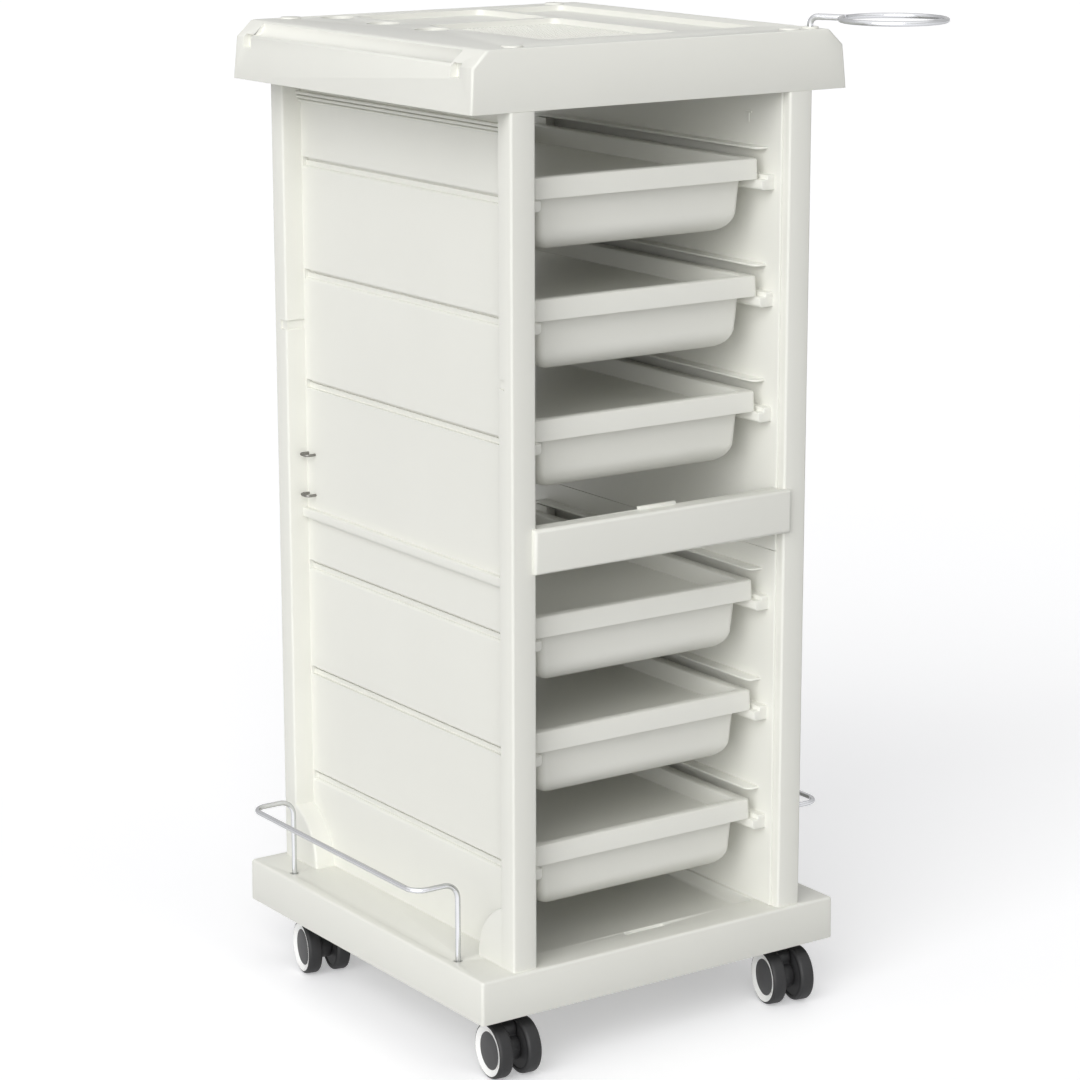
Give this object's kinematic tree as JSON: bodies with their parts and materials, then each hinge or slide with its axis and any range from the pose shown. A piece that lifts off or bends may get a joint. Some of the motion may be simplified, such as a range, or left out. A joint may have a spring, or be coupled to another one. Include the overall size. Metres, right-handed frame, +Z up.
{
  "type": "rolling salon trolley",
  "caption": "Rolling salon trolley with pull-out trays, slatted side panels, a recessed top tray, a swivel dryer ring, side wire rails and twin-wheel casters.",
  "frame": {"origin": "on the floor, under the middle of the whole object's box, dryer ring and side rails included", "axes": "+Z up, -Y is the front, where the trays pull out, +X to the right seen from the front"},
  "size_m": [0.4766, 0.4916, 0.898],
  "materials": {
    "frame_plastic": "satin",
    "top_plastic": "satin",
    "tray_plastic": "satin",
    "chrome_wire": "polished",
    "clip_wire": "polished",
    "screw_steel": "zinc plated",
    "caster_plastic": "satin",
    "tyre_black": "satin",
    "ring_white": "gloss",
    "stem_steel": "satin"
  },
  "bodies": {
    "frame": {"base_tray": "frame_plastic", "lid_tray": "top_plastic", "front_crossbar": "frame_plastic", "rear_crossbar": "frame_plastic", "column_front_left": "frame_plastic", "column_front_right": "frame_plastic", "column_rear_left": "frame_plastic", "column_rear_right": "frame_plastic", "side_panel_upper_left": "frame_plastic", "side_panel_upper_right": "frame_plastic", "side_panel_lower_left": "frame_plastic", "side_panel_lower_right": "frame_plastic", "lid_screws": "screw_steel", "lid_screw_caps": "top_plastic", "base_screws": "screw_steel", "panel_clip_wires": "clip_wire", "ring_bush": "top_plastic", "wire_rail_left": "chrome_wire", "wire_rail_right": "chrome_wire", "caster_stems": "stem_steel"},
    "dryer_ring": {"dryer_ring": "chrome_wire"},
    "tray_1": {"tray_1": "tray_plastic"},
    "tray_2": {"tray_2": "tray_plastic"},
    "tray_3": {"tray_3": "tray_plastic"},
    "tray_4": {"tray_4": "tray_plastic"},
    "tray_5": {"tray_5": "tray_plastic"},
    "tray_6": {"tray_6": "tray_plastic"},
    "caster_front_left": {"caster_fork_front_left": "caster_plastic", "caster_axle_front_left": "stem_steel"},
    "wheel_front_left_outer": {"wheel_front_left_outer": "tyre_black", "wheel_ring_front_left_outer": "ring_white"},
    "wheel_front_left_inner": {"wheel_front_left_inner": "tyre_black", "wheel_ring_front_left_inner": "ring_white"},
    "caster_front_right": {"caster_fork_front_right": "caster_plastic", "caster_axle_front_right": "stem_steel"},
    "wheel_front_right_outer": {"wheel_front_right_outer": "tyre_black", "wheel_ring_front_right_outer": "ring_white"},
    "wheel_front_right_inner": {"wheel_front_right_inner": "tyre_black", "wheel_ring_front_right_inner": "ring_white"},
    "caster_rear_left": {"caster_fork_rear_left": "caster_plastic", "caster_axle_rear_left": "stem_steel"},
    "wheel_rear_left_outer": {"wheel_rear_left_outer": "tyre_black", "wheel_ring_rear_left_outer": "ring_white"},
    "wheel_rear_left_inner": {"wheel_rear_left_inner": "tyre_black", "wheel_ring_rear_left_inner": "ring_white"},
    "caster_rear_right": {"caster_fork_rear_right": "caster_plastic", "caster_axle_rear_right": "stem_steel"},
    "wheel_rear_right_outer": {"wheel_rear_right_outer": "tyre_black", "wheel_ring_rear_right_outer": "ring_white"},
    "wheel_rear_right_inner": {"wheel_rear_right_inner": "tyre_black", "wheel_ring_rear_right_inner": "ring_white"}
  },
  "joints": [
    {"name": "tray_1_slide", "type": "slide", "parent": "frame", "child": "tray_1", "axis": [0, -1, 0], "range_m": [0, 0.269]},
    {"name": "tray_2_slide", "type": "slide", "parent": "frame", "child": "tray_2", "axis": [0, -1, 0], "range_m": [0, 0.269]},
    {"name": "tray_3_slide", "type": "slide", "parent": "frame", "child": "tray_3", "axis": [0, -1, 0], "range_m": [0, 0.269]},
    {"name": "tray_4_slide", "type": "slide", "parent": "frame", "child": "tray_4", "axis": [0, -1, 0], "range_m": [0, 0.269]},
    {"name": "tray_5_slide", "type": "slide", "parent": "frame", "child": "tray_5", "axis": [0, -1, 0], "range_m": [0, 0.269]},
    {"name": "tray_6_slide", "type": "slide", "parent": "frame", "child": "tray_6", "axis": [0, -1, 0], "range_m": [0, 0.269]},
    {"name": "dryer_ring_swivel", "type": "hinge", "parent": "frame", "child": "dryer_ring", "pos_m": [0.15481, -0.12973, 0.8852], "axis": [0, 0, 1], "continuous": true},
    {"name": "caster_front_left_swivel", "type": "hinge", "parent": "frame", "child": "caster_front_left", "pos_m": [-0.16569, -0.10773, 0.05], "axis": [0, 0, 1], "continuous": true},
    {"name": "wheel_front_left_outer_spin", "type": "hinge", "parent": "caster_front_left", "child": "wheel_front_left_outer", "pos_m": [-0.16882, -0.13757, 0.025], "axis": [0.9945, -0.1045, 0], "continuous": true},
    {"name": "wheel_front_left_inner_spin", "type": "hinge", "parent": "caster_front_left", "child": "wheel_front_left_inner", "pos_m": [-0.16882, -0.13757, 0.025], "axis": [0.9945, -0.1045, 0], "continuous": true},
    {"name": "caster_front_right_swivel", "type": "hinge", "parent": "frame", "child": "caster_front_right", "pos_m": [0.14131, -0.10773, 0.05], "axis": [0, 0, 1], "continuous": true},
    {"name": "wheel_front_right_outer_spin", "type": "hinge", "parent": "caster_front_right", "child": "wheel_front_right_outer", "pos_m": [0.13508, -0.13708, 0.025], "axis": [0.9781, -0.2079, 0], "continuous": true},
    {"name": "wheel_front_right_inner_spin", "type": "hinge", "parent": "caster_front_right", "child": "wheel_front_right_inner", "pos_m": [0.13508, -0.13708, 0.025], "axis": [0.9781, -0.2079, 0], "continuous": true},
    {"name": "caster_rear_left_swivel", "type": "hinge", "parent": "frame", "child": "caster_rear_left", "pos_m": [-0.16569, 0.20127, 0.05], "axis": [0, 0, 1], "continuous": true},
    {"name": "wheel_rear_left_outer_spin", "type": "hinge", "parent": "caster_rear_left", "child": "wheel_rear_left_outer", "pos_m": [-0.17192, 0.17192, 0.025], "axis": [0.9781, -0.2079, 0], "continuous": true},
    {"name": "wheel_rear_left_inner_spin", "type": "hinge", "parent": "caster_rear_left", "child": "wheel_rear_left_inner", "pos_m": [-0.17192, 0.17192, 0.025], "axis": [0.9781, -0.2079, 0], "continuous": true},
    {"name": "caster_rear_right_swivel", "type": "hinge", "parent": "frame", "child": "caster_rear_right", "pos_m": [0.14131, 0.20127, 0.05], "axis": [0, 0, 1], "continuous": true},
    {"name": "wheel_rear_right_outer_spin", "type": "hinge", "parent": "caster_rear_right", "child": "wheel_rear_right_outer", "pos_m": [0.13508, 0.17192, 0.025], "axis": [0.9781, -0.2079, 0], "continuous": true},
    {"name": "wheel_rear_right_inner_spin", "type": "hinge", "parent": "caster_rear_right", "child": "wheel_rear_right_inner", "pos_m": [0.13508, 0.17192, 0.025], "axis": [0.9781, -0.2079, 0], "continuous": true}
  ]
}
